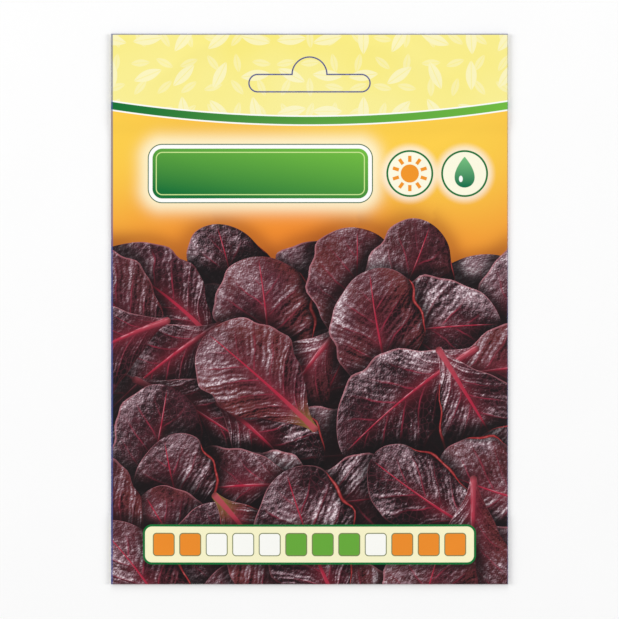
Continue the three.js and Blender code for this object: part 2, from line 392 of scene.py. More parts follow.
def triangulate(loops, inner):
    """Triangles over the plane that keep every loop's edges, with those inner points
    that lie clear of the loops. Gives points and corners."""
    for loop in loops:
        away = np.hypot(*(inner[:, None] - loop[None]).transpose(2, 0, 1)).min(axis=1)
        inner = inner[away > loop_clear]
    starts = np.cumsum([0] + [len(loop) for loop in loops])
    edges = np.concatenate([
        start + at(np.arange(len(loop)), np.roll(np.arange(len(loop)), -1))
        for start, loop in zip(starts, loops)
    ])
    points = list(map(Vector, np.concatenate([*loops, inner]).tolist()))
    made = delaunay_2d_cdt(points, edges.tolist(), [], 0, welded, False)
    return np.array(made[0], float), np.array(made[2], int)


def keep_faces(points, corners, wanted):
    """The triangles whose middles wanted() accepts and that aren't flat, turned
    anticlockwise."""
    a, b, c = (points[corners[:, k]] for k in range(3))
    corners = corners[wanted((a + b + c) / 3)]
    a, b, c = (points[corners[:, k]] for k in range(3))
    turn = (b - a)[:, 0] * (c - a)[:, 1] - (b - a)[:, 1] * (c - a)[:, 0]
    corners, turn = (values[np.abs(turn) > flattest] for values in (corners, turn))
    return np.where((turn > 0)[:, None], corners, corners[:, ::-1])


# The printed leaves: the front's lower part shows a bed of loose dark red ones, tossed
# over each other at all angles. Each is oval, with a pink rib that runs out of its foot
# as a stalk, and a waved edge.
leaf_draw = np.random.default_rng(23)
leaf_gap, leaf_tries, bed_top = 11.2, 5000, 6.0
past_side, past_end, leaf_shuffle = 7, 8, 26
light_x, light_y = -0.62, 0.78
leaves = []
for _ in range(leaf_tries):
    x = leaf_draw.uniform(-half_width - past_side, half_width + past_side)
    y = leaf_draw.uniform(-half_height - past_end, bed_top)
    if all(math.hypot(x - leaf.x, y - leaf.y) > leaf_gap for leaf in leaves):
        leaves.append(SimpleNamespace(x=x, y=y))
leaves.sort(key=lambda leaf: -leaf.y + leaf_shuffle * leaf_draw.uniform(-1, 1))
for leaf in leaves:
    # Leaves at the bed's top stand nearly upright, and lower down they lie any way.
    most_tilt = 2.9 - 2.3 * np.clip((leaf.y + 28) / 30, 0, 1)
    tilt = leaf_draw.uniform(-most_tilt, most_tilt) + 0.5 * leaf.x / half_width
    leaf.sine, leaf.cosine = math.sin(tilt), math.cos(tilt)
    leaf.length = leaf_draw.uniform(36, 46)
    leaf.half = leaf_draw.uniform(10.6, 14.0)
    leaf.bend = leaf_draw.uniform(-0.24, 0.24)
    leaf.wave = leaf_draw.uniform(0, 6.28)
    leaf.tone = leaf_draw.uniform(0, 1)
leaf_middle, leaf_widest = 0.58, 0.60
stalk_half, foot = 0.95, 0.02


def leaf_half_width(leaf, t, side):
    """Half the leaf's width at t along it, on the side given by its sign: a stalk that
    widens smoothly into a spoon-shaped blade, which a power curve closes over its tip,
    with waves on its edge."""
    t = np.clip(t, 0, 1)
    stalk = stalk_half * np.sqrt(1 - (1 - np.minimum(t / foot, 1)) ** 2)
    widening = smooth(t, foot, leaf_widest) ** 0.85
    closing = np.clip((t - leaf_widest) / (1 - leaf_widest), 0, 1)
    tip = np.sqrt(1 - closing**2.3)
    broad_waves = 0.050 * np.sin(19 * t + leaf.wave + 1.9 * side)
    fine_waves = 0.030 * np.sin(37 * t - 2 * leaf.wave + 0.8 * side)
    edge = 1 + broad_waves + fine_waves
    return (stalk + (leaf.half - stalk_half) * widening * edge) * tip


def leaf_place(leaf, x, y):
    """Where a point lies on a leaf: t along it from foot to tip, and mm across from its
    rib, which bends by a parabola."""
    dx, dy = x - leaf.x, y - leaf.y
    along = dx * leaf.sine + dy * leaf.cosine + leaf_middle * leaf.length
    t = along / leaf.length
    rib = leaf.bend * leaf.length * (t**2 - leaf_middle**2)
    return t, dx * leaf.cosine - dy * leaf.sine - rib


def leaf_loop(leaf):
    """The leaf's outline: up one edge and down the other, closer together at its tip."""
    t = (1 - np.cos(np.pi * np.linspace(0, 1, 44))) / 2
    right, left = leaf_half_width(leaf, t, 1), leaf_half_width(leaf, t, -1)
    right[[0, -1]] = 0
    across = np.concatenate([right, -left[-2:0:-1]])
    t = np.concatenate([t, t[-2:0:-1]])
    along = (t - leaf_middle) * leaf.length
    across = across + leaf.bend * leaf.length * (t**2 - leaf_middle**2)
    return at(
        leaf.x + along * leaf.sine + across * leaf.cosine,
        leaf.y + along * leaf.cosine - across * leaf.sine,
    )


def top_leaf(points):
    """The number of the uppermost leaf at each point, or -1."""
    found = np.full(len(points), -1)
    for number, leaf in enumerate(leaves):
        t, across = leaf_place(leaf, *points.T)
        half = leaf_half_width(leaf, t, np.sign(across))
        found[(t > 0) & (t < 1) & (np.abs(across) < half)] = number
    return found


shadow_depth, shadow_reach = 0.62, 3.2


def leaf_shadow(points, number):
    """Light left at points on leaf number, 0 to 1, under the leaves that lie above it:
    each takes some away near its edge, by a bell curve of the distance."""
    light = np.ones(len(points))
    for other, leaf in enumerate(leaves):
        t, across = leaf_place(leaf, *points.T)
        near = np.clip(t, 0.03, 1 - leaf.half / leaf.length)
        away = np.hypot(across, (t - near) * leaf.length)
        gap = np.maximum(away - leaf_half_width(leaf, near, np.sign(across)), 0)
        depth = np.where(number < other, shadow_depth, 0.0)
        light *= 1 - depth * np.exp(-((gap / shadow_reach) ** 2)) * smooth(t, 0.05, 0.4)
    return light


def print_values(points):
    """For each corner of the printed faces: place on the leaf (share of half width,
    share of length, leaf number), the same in mm, light direction and tone, shadow."""
    number = np.repeat(top_leaf(points.mean(axis=1)), 3)
    flat = points.reshape(-1, 2)
    place, size, light = (np.zeros((len(flat), 3)) for _ in range(3))
    for k, leaf in enumerate(leaves):
        on = number == k
        t, across = leaf_place(leaf, *flat[on].T)
        share = across / np.maximum(leaf_half_width(leaf, t, np.sign(across)), 0.05)
        place[on] = at(np.clip(share, -1, 1), t, k + 1.0)
        size[on] = at(across, t * leaf.length, k * 31.0)
        light[on] = (
            light_x * leaf.cosine - light_y * leaf.sine,
            light_x * leaf.sine + light_y * leaf.cosine,
            leaf.tone,
        )
    return {
        "leaf_place": place,
        "leaf_size": size,
        "leaf_light": light,
        "leaf_shadow": leaf_shadow(flat, number)[:, None],
    }


# The sheet's mesh: each panel, flap and fold is worked out on its own. They are joined at
# their shared edges, and the whole gets the paper's thickness.
FRONT_PRINT, BACK_PRINT, INSIDE, CUT_EDGE = range(4)
FRONT_CHART, BACK_CHART, TOP_CHART, BOTTOM_CHART, SIDE_CHART = range(5)
panels = []


def add_panel(points, outward, faces, kind, flat, chart):
    """Adds one panel: its points, which way is out at each, and its triangles, which
    turn anticlockwise seen from outside. flat is where each point is on the print, and
    chart is the piece of the unfolded sheet that the panel belongs to."""
    start = sum(len(panel[0]) for panel in panels)
    kinds, charts = np.full(len(faces), kind), np.full(len(faces), chart)
    panels.append((points, np.broadcast_to(outward, points.shape), faces + start, kinds, flat, charts))


def grid(rows, columns):
    """Every pair of a value from rows and one from columns, row by row, and the two
    triangles of each of the grid's cells."""
    row, column = (values.ravel() for values in np.meshgrid(rows, columns, indexing="ij"))
    count = len(columns)
    first = (np.arange(len(rows) - 1)[:, None] * count + np.arange(count - 1)).ravel()
    halves = [at(first, first + 1, first + count + 1), at(first, first + count + 1, first + count)]
    return row, column, np.concatenate(halves)


def slopes_outward(height_at, x, y):
    """The upward unit normal of a height function, from its slopes over d each way."""
    d = 0.05
    along_x = (height_at(x + d, y) - height_at(x - d, y)) / (2 * d)
    along_y = (height_at(x, y + d) - height_at(x, y - d)) / (2 * d)
    normal = at(-along_x, -along_y, 1.0)
    return normal / np.linalg.norm(normal, axis=1)[:, None]


# The front panel: its triangles follow every printed leaf's outline and the slit.
edge_pitch, front_pitch, snap = 0.9, 1.15, 1e-4
slit_loops = [slot_loop(slit / 2), slot_loop(-slit / 2)]
front_sides = (front_left, front_right, -front_end, front_end)
front_loops = [rectangle(*front_sides, edge_pitch), *map(leaf_loop, leaves), *slit_loops]
flat, corners = triangulate(front_loops, fill(*front_sides, front_pitch))
for axis, side in zip((0, 0, 1, 1), front_sides):
    flat[np.abs(flat[:, axis] - side) < snap, axis] = side

faces = keep_faces(flat, corners, inside_panel(front_left, front_right))
x, y = flat.T
outward = slopes_outward(front_height, x, y)
add_panel(at(x, y, front_height(x, y)), outward, faces, FRONT_PRINT, flat, FRONT_CHART)
within = (x >= front_left) & (x <= front_right) & (np.abs(y) <= front_end)
left_y, right_y = (np.unique(y[within & (x == side)]) for side in (front_left, front_right))
top_x, bottom_x = (np.unique(x[within & (y == end)]) for end in (front_end, -front_end))

# The side folds and then the end folds: half circles from the front to the back.
half_turn = np.linspace(0, np.pi, 11)


def side_fold(sign, edge, radius, rows):
    """A half circle from the front, at angle 0, to the panel under it, along all rows."""
    y, angle, faces = grid(rows, half_turn[::sign])
    outward = at(sign * np.sin(angle), 0.0, np.cos(angle))
    centre = at(edge, y, back_height(y) + front_clear - radius)
    flat = at(edge + sign * radius * angle, y)
    add_panel(centre + radius * outward, outward, faces, FRONT_PRINT, flat, FRONT_CHART)


side_fold(-1, front_left, left_radius, left_y)
side_fold(1, front_right, right_radius, right_y)


def end_fold(sign, columns):
    """A half circle from the front, at angle 0, to the flap under the back. Like the
    flap, it is as wide as the packet with its side folds."""
    angle, x, faces = grid(half_turn[::sign], columns)
    outward = at(0.0, sign * np.sin(angle), np.cos(angle))
    centre = at(x, sign * front_end, solid_paper / 2 + end_radius)
    flat = at(x, sign * (front_end + end_radius * angle))
    add_panel(centre + end_radius * outward, outward, faces, FRONT_PRINT, flat, FRONT_CHART)


# Past the front's sides, the end folds reach the packet's own.
past_left = front_left - (left_radius + paper / 2) * np.array([1, 0.5])
past_right = front_right + (right_radius + paper / 2) * np.array([0.5, 1])
top_x, bottom_x = (np.concatenate([past_left, x, past_right]) for x in (top_x, bottom_x))
end_fold(1, top_x)
end_fold(-1, bottom_x)

# The side flap: inside the back panel, from the left fold inwards.
down = np.array([0, 0, -1.0])
y, x, faces = grid(left_y, np.linspace(-half_width + side_flap, front_left, 8))
add_panel(at(x, y, back_height(y) + layer), down, faces, BACK_PRINT, at(x, y), SIDE_CHART)


def flat_panel(loop, inner, wanted, height_of, chart):
    """A panel that faces down, with the slot's slit cut in it."""
    flat, corners = triangulate([loop, *slit_loops], inner)
    faces = keep_faces(flat, corners, wanted)[:, ::-1]
    x, y = flat.T
    add_panel(at(x, y, height_of(y)), down, faces, BACK_PRINT, flat, chart)


# The back panel: from the right fold to just short of the left one, slit with the rest.
back_left, back_pitch = -half_width + back_edge_inset, 2.4
across = np.linspace(back_left, front_right, 66)
back_loop = np.concatenate([
    at(across, -front_end),
    at(front_right, right_y[1:-1]),
    at(across[::-1], front_end),
    at(back_left, np.linspace(front_end, -front_end, 90)[1:-1]),
])
back_fill = fill(back_left, front_right, -front_end, front_end, back_pitch)
flat_panel(back_loop, back_fill, inside_panel(back_left, front_right), back_height, BACK_CHART)


flap_clear, flap_pitch = 0.5, 2.2


def end_flap(sign, columns, edge, chart):
    """An end flap: outermost on the back, and narrower in a straight line towards its
    free edge."""
    fold_y = sign * front_end
    narrow = 1 - flap_taper / half_width
    side = np.linspace(0, 1, 18)[1:-1]

    def edge_x(x_at_fold, share):
        """A side's x at this share of the way from the fold to the free edge."""
        return x_at_fold * (1 - (1 - narrow) * share)

    def on_flap(points):
        """True for uncut points between the flap's four sides."""
        x, y = points.T
        share = (y - fold_y) / (edge - fold_y)
        inside = (x > edge_x(columns[0], share)) & (x < edge_x(columns[-1], share))
        return (share > 0) & (share < 1) & inside & uncut(points)

    free_left, free_right = columns[0] * narrow, columns[-1] * narrow
    loop = np.concatenate([
        at(columns, fold_y),
        at(edge_x(columns[-1], side), fold_y + (edge - fold_y) * side),
        at(np.linspace(free_right, free_left, 60), edge),
        at(edge_x(columns[0], side[::-1]), fold_y + (edge - fold_y) * side[::-1]),
    ])
    low, high = min(edge, fold_y), max(edge, fold_y)
    inner = fill(free_left + flap_clear, free_right - flap_clear, low, high, flap_pitch)
    flat_panel(loop, inner, on_flap, lambda y: solid_paper / 2, chart)


end_flap(1, top_x, top_edge, TOP_CHART)
end_flap(-1, bottom_x, bottom_edge, BOTTOM_CHART)

# The sheet's own map lays its charts out flat on a square, none over another, with the
# front largest. A row gives a chart's left and low edges in 1/1024 of the square's side
# and how many of those a millimetre takes. The cut edges are a grid of small cells.
map_size = 1024
outside_charts = (
    (6, 6, 5.4), (583, 6, 4.15), (583, 612, 4.15), (583, 707, 4.15), (301, 813, 1.35),
)
inside_charts = (
    (6, 813, 1.35), (155, 813, 1.35), (345, 813, 1.35), (345, 848, 1.35), (323, 813, 1.35),
)
wall_left, wall_low, wall_cell, wall_columns = 583, 773, 7, 62


def chart_places(flat, charts, rows, from_below):
    """Each corner's place on the map: how far it is from its chart's left and low edges,
    times the chart's size a millimetre. A chart seen from below runs the other way."""
    places = np.zeros_like(flat)
    for chart, (left, low, size) in enumerate(rows):
        on = charts == chart
        turned = flat[on] * (-1 if from_below(chart) else 1, 1)
        places[on] = (turned - turned.min(axis=(0, 1))) * size + (left, low)
    return places / map_size


def wall_places(count):
    """The same for the walls' triangles: the two halves of one cell for each wall."""
    cells = np.arange(count)
    start = at(cells % wall_columns, cells // wall_columns) * wall_cell
    halves = [np.array([(1, 1), (0, 1), (0, 0)]), np.array([(1, 1), (0, 0), (1, 0)])]
    placed = [start[:, None] + half * (wall_cell - 1) for half in halves]
    return (np.concatenate(placed) + (wall_left, wall_low)) / map_size


def joined_panels():
    """The panels as one surface, with points closer than 1/10000 mm made one: points,
    outward, faces, and each face's kind, flat corners and chart."""
    points, outward, faces, kinds, flat, charts = map(np.concatenate, zip(*panels))
    used = np.unique(faces)
    key = np.round(points[used], 4)
    _, first, joined = np.unique(key, axis=0, return_index=True, return_inverse=True)
    lookup = np.full(len(points), -1)
    lookup[used] = joined.ravel()
    corner_flat = flat[faces]
    faces = lookup[faces]
    whole = (faces != np.roll(faces, 1, axis=1)).all(axis=1)
    per_face = (values[whole] for values in (faces, kinds, corner_flat, charts))
    return points[used][first], outward[used][first], *per_face


def mesh_of(name, points, faces, sharp):
    """A mesh of these points, in millimetres, and triangles. Its edges past this many
    degrees are sharp."""
    mesh = bpy.data.meshes.new(name)
    mesh.from_pydata((points * mm).tolist(), [], faces.tolist())
    mesh.shade_smooth()
    mesh.set_sharp_from_angle(angle=math.radians(sharp))
    return mesh


def store(mesh, title, domain, values):
    """Keeps rows of one number or of three on the mesh, as its own attribute."""
    kind, field = ("FLOAT_VECTOR", "vector") if values.shape[-1] == 3 else ("FLOAT", "value")
    data = mesh.attributes.new(title, kind, domain).data
    data.foreach_set(field, values.astype(np.float32).ravel())


def build_sheet(name):
    """The closed sheet: the outside half a thickness out, the inside half a thickness
    in, and a wall along every edge that only one triangle has."""
    points, outward, faces, kinds, corner_flat, charts = joined_panels()
    count = len(points)
    edges = np.concatenate([faces[:, [0, 1]], faces[:, [1, 2]], faces[:, [2, 0]]])
    code, back_code = (edges[:, k] * count + edges[:, 1 - k] for k in range(2))
    a, b = edges[~np.isin(code, back_code)].T
    walls = np.concatenate([at(b, a, a + count), at(b, a + count, b + count)])
    both = np.concatenate([points + outward * paper / 2, points - outward * paper / 2])
    all_faces = np.concatenate([faces, faces[:, ::-1] + count, walls])
    slots = np.concatenate([kinds, np.full(len(faces), INSIDE), np.full(len(walls), CUT_EDGE)])
    mesh = mesh_of(name, both, all_faces, sharp=50)
    mesh.polygons.foreach_set("material_index", slots)
    places = np.concatenate([
        chart_places(corner_flat, charts, outside_charts, lambda chart: chart != FRONT_CHART),
        chart_places(corner_flat[:, ::-1], charts, inside_charts, lambda chart: chart == FRONT_CHART),
        wall_places(len(a)),
    ])
    mesh.uv_layers.new(name="OFBake").uv.foreach_set("vector", places.astype(np.float32).ravel())

    printed = np.repeat(slots == FRONT_PRINT, 3)
    for title, found in print_values(corner_flat[kinds == FRONT_PRINT]).items():
        on_mesh = np.zeros((all_faces.size, found.shape[1]))
        on_mesh[printed] = found
        store(mesh, title, "CORNER", on_mesh)
    return linked(name, mesh)


envelope = build_sheet("printed_envelope")
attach(envelope, "root")
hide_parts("envelope")


def overprint(colour, *layers):
    """A colour with others laid over it in turn, each by its share from 0 to 1."""
    for share, over in layers:
        colour = share.mix(colour, over)
    return colour


front_print, shader, place = material("front_print", Roughness=0.45, Specular_IOR_Level=0.2)
X, Y, _ = place.parts()
share, along, leaf_number = place.attribute("leaf_place").parts()
leaf_mm = place.attribute("leaf_size")
across_mm, _, _ = leaf_mm.parts()
lit_across, lit_along, tone = place.attribute("leaf_light").parts()
light_left, _, _ = place.attribute("leaf_shadow").parts()
side = share.above(0) * 2 - 1
off_rib = share.abs()
rib_gap = across_mm.abs()
to_light = place.vector(lit_across, lit_along, 0.0).scaled(0.5)


def rise(pattern, reach):
    """How much a pattern on the leaf is higher a little way towards the light."""
    return pattern(leaf_mm.plus(to_light.scaled(reach))) - pattern(leaf_mm)


# The blade: side veins that leave the rib at a slant, the ridges between them, and a net
# of wrinkles. Each takes light on the slope that faces it.
wander = leaf_mm.noise(0.16, 2) - 0.5
flow = (along - off_rib**0.85 * 0.27 + wander * 0.05) * 7 + share.below(0) * 0.5
vein_phase = flow.fract()
vein_gap = vein_phase.smallest(1 - vein_phase)
vein_slope = (vein_phase * math.pi).cos()
ridge_phase = flow * (3.2 * 2 * math.pi) + leaf_mm.noise(0.35, 2) * 9
ridge_slope = ridge_phase.cos() * rib_gap.step(0.5, 3.0) * along.step(0.94, 0.68)
crosswise = lit_along - side * lit_across * 0.6
lift = (
    0.485
    + vein_slope * crosswise * 0.18 * off_rib.step(0.0, 0.3) * along.step(0.92, 0.62)
    + ridge_slope * crosswise * 0.14
    - rise(lambda leaf: leaf.cells(0.62), 0.7) * 0.62
    - rise(lambda leaf: leaf.noise(1.1, 4), 0.4) * 0.85
    - rise(lambda leaf: leaf.noise(2.3, 2), 0.3) * 0.85
    + share * lit_across * 0.26
    + (along - 0.5) * lit_along * 0.32
    + (leaf_mm.noise(0.08, 2) - 0.5) * 1.1
)
plum = (leaf_mm.noise(0.13, 3) * 0.9 + tone * 0.4 - 0.15).step(0.25, 0.8)
rusty = tone.step(0.35, 0.9) * (off_rib.step(0.1, 0.9) * 0.6 + 0.3)
rusty = rusty * leaf_mm.noise(0.09, 2).step(0.3, 0.6)
shine = lift.step(0.76, 1.04) * leaf_mm.noise(1.6, 2).step(0.40, 0.56)
glow = (-rib_gap / 1.9).exp() * along.step(1.05, 0.2)
heart = along.step(0.26, 0.04) * (-rib_gap / 2.4).exp() * tone.above(0.75)
vein = vein_gap.step(0.075, 0.010) * off_rib.step(0.95, 0.3) * rib_gap.step(0.2, 1.0)
vein_strength = leaf_mm.noise(0.2, 2).step(0.25, 0.75) * 0.6 + 0.12
fine_vein = leaf_mm.cell_edges(0.55).step(0.09, 0.0)
body = overprint(
    plum.mix(ink(26, 11, 16), ink(80, 35, 46)),
    (rusty * 0.9, ink(104, 42, 40)),
    (lift.step(0.50, 0.92) * 0.88, ink(158, 126, 136)),
    (shine, ink(238, 222, 228)),
    (lift.step(0.46, 0.14) * 0.96, ink(7, 2, 5)),
    (glow * 0.6, ink(142, 30, 52)),
    (heart * 0.65, ink(150, 140, 52)),
    (vein * along.step(0.95, 0.75) * vein_strength, ink(164, 44, 70)),
    (fine_vein * 0.16, ink(140, 62, 80)),
)

# The midrib: round, broad and pale towards the stalk, and dark where it was cut. The
# leaf's rim is lit on the side of the light.
rib_half = 0.14 + (1 - along).largest(0) ** 2.2 * 0.76
rib = (rib_gap / rib_half).step(1.12, 0.82) * along.step(0.985, 0.90)
rib_round = (across_mm / rib_half * lit_across).step(-1.0, 1.0)
streak = leaf_mm.times((1.0, 0.12, 1.0)).noise(3.0, 2).step(0.42, 0.62)
rib_colour = overprint(
    along.step(0.42, 0.0).mix(ink(176, 34, 62), ink(178, 70, 84)),
    (rib_round.step(0.6, 0.0) * 0.65, ink(104, 16, 36)),
    (rib_round.step(0.5, 0.95) * streak * 0.6, ink(244, 176, 190)),
    (along.step(0.035, 0.0) * 0.75, ink(84, 34, 34)),
)
rim = off_rib.step(0.945, 0.985) * along.above(0.05)
rim_lit = (side * lit_across + (along - 0.6) * lit_along * 2).step(-0.3, 0.7)
rim_colour = rim_lit.mix(ink(74, 20, 28), ink(188, 118, 128))

# Some leaves curl over along one edge and show their red underside.
curl_side = (leaf_number * 0.5).fract().above(0.25) * 2 - 1
curl_edge = 0.83 + leaf_mm.noise(0.10, 1) * 0.24 + along.step(0.80, 1.0) * 0.2
curl_in = share * curl_side - curl_edge
curl_round = (curl_in / (1.001 - curl_edge)).largest(0).smallest(1)
curled = (leaf_number * 0.618).fract().above(0.45) * along.above(0.22)
curl_lift = (curl_round * math.pi).sin() + leaf_mm.noise(0.9, 3) - 0.5
underside = overprint(
    curl_lift.step(0.2, 1.0).mix(ink(72, 16, 20), ink(158, 46, 48)),
    (curl_lift.step(0.9, 1.25) * 0.6, ink(214, 128, 126)),
)
leaf_colour = overprint(
    body,
    (rib * 0.92, rib_colour),
    (rim * 0.6, rim_colour),
    (curl_in.step(-0.14, 0.0) * curled * 0.75, ink(10, 4, 7)),
    (curl_in.step(-0.004, 0.006) * curled, underside),
    (light_left.step(1.0, 0.22) * 0.97, ink(8, 3, 6)),
)

# The front's ground: a pale header with an arched lower edge and a green ribbon on it,
# and a field that deepens from yellow to orange in wide slanting glows.
band_depth, band_rise = 23.0, 4.0
from_top = half_height - Y
under_band = from_top + X * X / half_width**2 * band_rise - band_depth


def leaf_scatter(place, pitch, size, shift):
    """A faint pattern of almond-shaped leaves: one in each square of a grid of this
    pitch, turned by a random angle, with a vein down its middle."""
    grid = place.plus((shift, shift * 0.7, 0.0)).scaled(1 / pitch)
    column, row, _ = grid.parts()
    turn = place.vector(column.floor(), row.floor(), 0.0).random() * (2 * math.pi)
    u = (column.fract() - 0.5) * pitch
    v = (row.fract() - 0.5) * pitch
    across = u * turn.cos() - v * turn.sin()
    up = (u * turn.sin() + v * turn.cos()) / size
    edge = across.abs() - (1 - up * up) * size * 0.36
    vein = across.abs().step(0.05, 0.16) * 0.75 + 0.25
    return edge.within(0, 0.08) * vein


def header_pattern(place):
    """Large scattered leaves, with small fainter ones between them."""
    return leaf_scatter(place, 9.5, 4.0, 0.0).largest(leaf_scatter(place, 6.4, 2.6, 3.1) * 0.6)


leaf_green, bright_green, white = ink(0, 112, 50), ink(112, 188, 62), ink(255, 255, 252)
header_glow = place.noise(0.03, 2).step(0.3, 0.7) * 0.5 + from_top.step(0, 24) * 0.4
header_colour = overprint(
    header_glow.mix(ink(250, 236, 124), ink(251, 243, 168)),
    (header_pattern(place) * 0.55, ink(254, 251, 222)),
)
slant = ((X * 0.8 + Y * 0.45 + place.noise(0.02, 1) * 26) * 0.085).sin() * 0.5 + 0.5
depth_glow = from_top.step(26, 62) * 0.75 + slant * 0.30
field = depth_glow.step(0.0, 1.0).mix(ink(253, 207, 72), ink(242, 138, 40))
across_green = X / (2 * half_width) + 0.5 + place.noise(0.03, 1) * 0.2 - 0.1
ribbon = under_band.abs()
colour = overprint(
    under_band.step(-0.05, 0.05).mix(header_colour, field),
    ((1 - light_left) * 0.75, ink(120, 44, 12)),
    (from_top.step(60, 67), ink(9, 3, 6)),
    (leaf_number.above(0.5), leaf_colour),
    (ribbon.within(1.4), white),
    (ribbon.within(1.0), across_green.mix(leaf_green, bright_green)),
)


def rounded(x, y, half_x, half_y, radius):
    """Signed distance to a rectangle with round corners about the origin of x and y."""
    out_x, out_y = x.abs() - (half_x - radius), y.abs() - (half_y - radius)
    return out_x.largest(0).length(out_y.largest(0)) + out_x.largest(out_y).smallest(0) - radius


# The name's place holds a plain green plate with a white rim and a soft light round it.
plate_depth, plate_left = 37.0, 13.0
plate_x, plate_y = X + plate_left, from_top - plate_depth
plate = rounded(plate_x, plate_y, half_x=29.5, half_y=7.6, radius=3.6)
halo = (-(plate.largest(0) * plate.largest(0)) / 9).exp()
plate_green = (plate_y / -18 + 0.46 + plate_x / 130).mix(leaf_green, bright_green)
plate_line = (plate + 2.0).abs().within(0.135, 0.035)
colour = overprint(
    colour,
    (halo * 0.8 * plate.above(0), ink(255, 248, 214)),
    (plate.within(0.25), ink(30, 92, 44)),
    (plate.within(0), white),
    (plate.within(-1.0), plate_line.mix(plate_green, ink(206, 232, 150))),
)

# Two round signs: a sun, for where the plant is grown, and a water drop.
sun_at, drop_at, sign_radius, sign_rim = 26.5, 41.0, 6.2, 0.5
sun_x, drop_x, sign_y = X - sun_at, X - drop_at, plate_depth - from_top
for sign_x in (sun_x, drop_x):
    away = sign_x.length(sign_y)
    colour = overprint(
        colour,
        (away.step(8.6, 6.0) * 0.6, white),
        (away.within(sign_radius), leaf_green),
        (away.within(sign_radius - sign_rim), ink(253, 250, 226)),
    )
sun_radius, ray_start, ray_end, ray_count = 2.4, 3.05, 4.7, 10
sun_away = sun_x.length(sign_y)
sun_turn = (sign_y.angle(sun_x) * (ray_count / (2 * math.pi))).fract() - 0.5
ray = (sun_turn.abs() * sun_away).step(0.78, 0.66)
ray = ray * sun_away.within(ray_end) * sun_away.above(ray_start)
drop_foot, drop_length, drop_breadth = 3.7, 8.2, 6.9
drop_up = ((sign_y + drop_foot) / drop_length).largest(0.0).smallest(1.0)
drop_half = drop_up**0.5 * (1 - drop_up) * drop_breadth
in_drop = (drop_x.abs() - drop_half).within(0, 0.06) * (drop_half - 0.1).above(0)
drop_glint = (drop_x + 1.0).length((sign_y + 1.4) * 0.6).within(0.5)
drop_colour = (sign_y / 8 + 0.4).mix(ink(0, 112, 74), ink(120, 196, 130))
colour = overprint(
    colour,
    (sun_away.within(sun_radius).largest(ray), ink(243, 150, 34)),
    (in_drop, drop_glint.mix(drop_colour, white)),
)

# The sowing and cropping strip: twelve squares, one a month, with no words.
strip_depth, month_pitch = 135.0, 7.0
sowing_green, cropping_orange = ink(104, 172, 58), ink(240, 142, 40)
strip_y = from_top - strip_depth
strip = rounded(X, strip_y, half_x=44.0, half_y=5.3, radius=2.4)


def repeated(count, pitch):
    """How far past the middle of its repeat a place is that lies count pitches along."""
    return count.fract() * pitch - pitch / 2


def during(count, first, last):
    """1 where a whole number is from first to last."""
    return count.above(first - 0.5) * count.below(last + 0.5)


month = (X / month_pitch + 6).floor()
square = rounded(repeated(X / month_pitch, month_pitch), strip_y, half_x=2.7, half_y=2.9, radius=0.8)
in_year = during(month, 0, 11)
crop = during(month, 9, 11).largest(during(month, 0, 1))
month_colour = overprint(
    ink(255, 255, 250),
    (during(month, 5, 7), sowing_green),
    (crop, cropping_orange),
)
colour = overprint(
    colour,
    (strip.step(2.6, 0.0) * 0.6, ink(12, 4, 8)),
    (strip.within(0), leaf_green),
    (strip.within(-0.55), ink(252, 248, 206)),
    (square.within(0.2) * in_year, ink(120, 128, 84)),
    (square.within(-0.05) * in_year, month_colour),
)

# The die's trim line, in blue: round the slot, and along the left, top and right folds,
# where less ink has taken.
slot_side = (X.abs() - (slot_length - slot_band) / 2).largest(0)
band_gap = slot_side.length(Y - slot_y) - slot_band / 2
slot_gap = band_gap.smallest(X.length(Y - slot_y - slot_band / 2) - slot_hump)
left_line = (X + half_width).within(0.52, 0.04) * 0.72
top_line = from_top.within(0.29, 0.03) * 0.9
right_line = (half_width - X).within(0.23, 0.03) * 0.4
colour = overprint(
    colour,
    (left_line.largest(top_line).largest(right_line), ink(68, 84, 148)),
    (slot_gap.abs().within(0.19, 0.04) * 0.9, ink(64, 78, 172)),
)


def bump(height, strength, depth_mm):
    """The normal of a surface that rises by this height times a depth."""
    values = {"Strength": strength, "Distance": depth_mm * mm, "Height": height}
    return height.node("ShaderNodeBump", None, values)


def coated_finish(colour, shader, place):
    """What the coated side has all over: ink rubbed through to white paper in specks
    along its folds, fibres that show as fine bumps, and gloss that varies a little."""
    X, Y, _ = place.parts()
    from_edge = (half_width - X.abs()).smallest(half_height - Y.abs())
    specks = place.noise(3.4, 3).step(0.50, 0.66) * place.noise(0.10, 2).step(0.40, 0.62)
    rub = specks * from_edge.step(0.34, 0.04)
    gloss = place.noise(0.06, 3) * 0.10 + place.noise(2.2, 2) * 0.06 + rub * 0.2 + 0.44
    drawn = place.times((1.0, 0.35, 1.0)).noise(5.0, 2)
    fibres = place.noise(2.6, 4) * 0.6 + drawn * 0.4
    rubbed = (rub * 0.45).mix(colour, ink(248, 244, 236))
    connect(shader, Base_Color=rubbed, Roughness=gloss, Normal=bump(fibres, 0.10, 0.02))


coated_finish(colour, shader, place)

